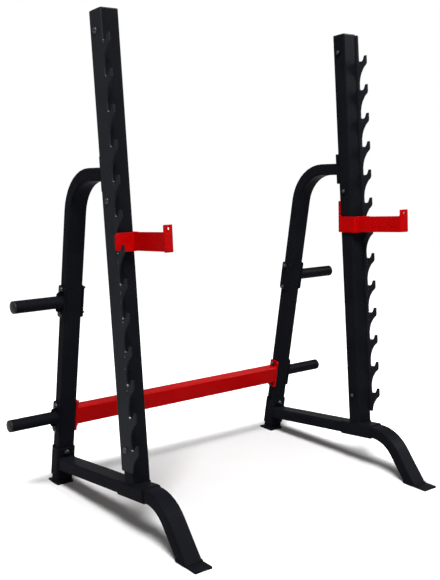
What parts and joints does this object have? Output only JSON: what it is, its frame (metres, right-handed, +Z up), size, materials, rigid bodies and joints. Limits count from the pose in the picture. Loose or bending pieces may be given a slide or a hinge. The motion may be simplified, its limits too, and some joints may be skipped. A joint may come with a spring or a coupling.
{
  "type": "walk-in squat rack",
  "caption": "Walk-in squat rack with leaning uprights, toothed hook plates, red spotter arms and a red cross member, bent base rails, rear supports and weight storage pegs.",
  "frame": {"origin": "on the floor, under the middle of the bounding box", "axes": "+Z up, +X across the rack to the lifter's left as they face it from the front, open front towards -Y"},
  "size_m": [1.6276, 1.015, 1.8017],
  "materials": {
    "frame_coat": "satin textured powder coat",
    "hook_coat": "satin powder coat",
    "red_coat": "semi-gloss powder coat",
    "black_plastic": "matte moulded plastic",
    "dark_zinc": "dark zinc plating"
  },
  "bodies": {
    "frame": {"base_rail_left": "frame_coat", "base_rail_right": "frame_coat", "base_sleeve_left": "frame_coat", "base_sleeve_right": "frame_coat", "cross_member": "red_coat", "cross_member_end_plate_left": "red_coat", "cross_member_end_plate_right": "red_coat", "front_foot_plate_left": "frame_coat", "front_foot_plate_right": "frame_coat", "hook_plate_bolt_left_1": "dark_zinc", "hook_plate_bolt_left_2": "dark_zinc", "hook_plate_bolt_left_3": "dark_zinc", "hook_plate_bolt_right_1": "dark_zinc", "hook_plate_bolt_right_2": "dark_zinc", "hook_plate_bolt_right_3": "dark_zinc", "hook_plate_left": "hook_coat", "hook_plate_right": "hook_coat", "lower_peg_bolt_left_1": "dark_zinc", "lower_peg_bolt_left_2": "dark_zinc", "lower_peg_bolt_right_1": "dark_zinc", "lower_peg_bolt_right_2": "dark_zinc", "lower_peg_cap_left": "black_plastic", "lower_peg_cap_right": "black_plastic", "lower_peg_left": "frame_coat", "lower_peg_plate_left": "frame_coat", "lower_peg_plate_right": "frame_coat", "lower_peg_right": "frame_coat", "rear_foot_plate_left": "frame_coat", "rear_foot_plate_right": "frame_coat", "rear_socket_left": "frame_coat", "rear_socket_right": "frame_coat", "rear_support_left": "frame_coat", "rear_support_right": "frame_coat", "socket_bolt_left": "dark_zinc", "socket_bolt_right": "dark_zinc", "support_flange_left": "frame_coat", "support_flange_right": "frame_coat", "upper_backing_plate_left": "frame_coat", "upper_backing_plate_right": "frame_coat", "upper_peg_bolt_left_1": "dark_zinc", "upper_peg_bolt_left_2": "dark_zinc", "upper_peg_bolt_right_1": "dark_zinc", "upper_peg_bolt_right_2": "dark_zinc", "upper_peg_cap_left": "black_plastic", "upper_peg_cap_right": "black_plastic", "upper_peg_left": "frame_coat", "upper_peg_plate_left": "frame_coat", "upper_peg_plate_right": "frame_coat", "upper_peg_right": "frame_coat", "upright_cap_left": "black_plastic", "upright_cap_right": "black_plastic", "upright_left": "frame_coat", "upright_right": "frame_coat"},
    "spotter_left": {"spotter_arm_left": "red_coat", "spotter_bracket_left": "red_coat"},
    "spotter_right": {"spotter_arm_right": "red_coat", "spotter_bracket_right": "red_coat"}
  },
  "joints": [
    {"name": "spotter_left_slide", "type": "slide", "parent": "frame", "child": "spotter_left", "axis": [1, 0, 0], "range_m": [0, 0.1]},
    {"name": "spotter_right_slide", "type": "slide", "parent": "frame", "child": "spotter_right", "axis": [-1, 0, 0], "range_m": [0, 0.1]}
  ]
}
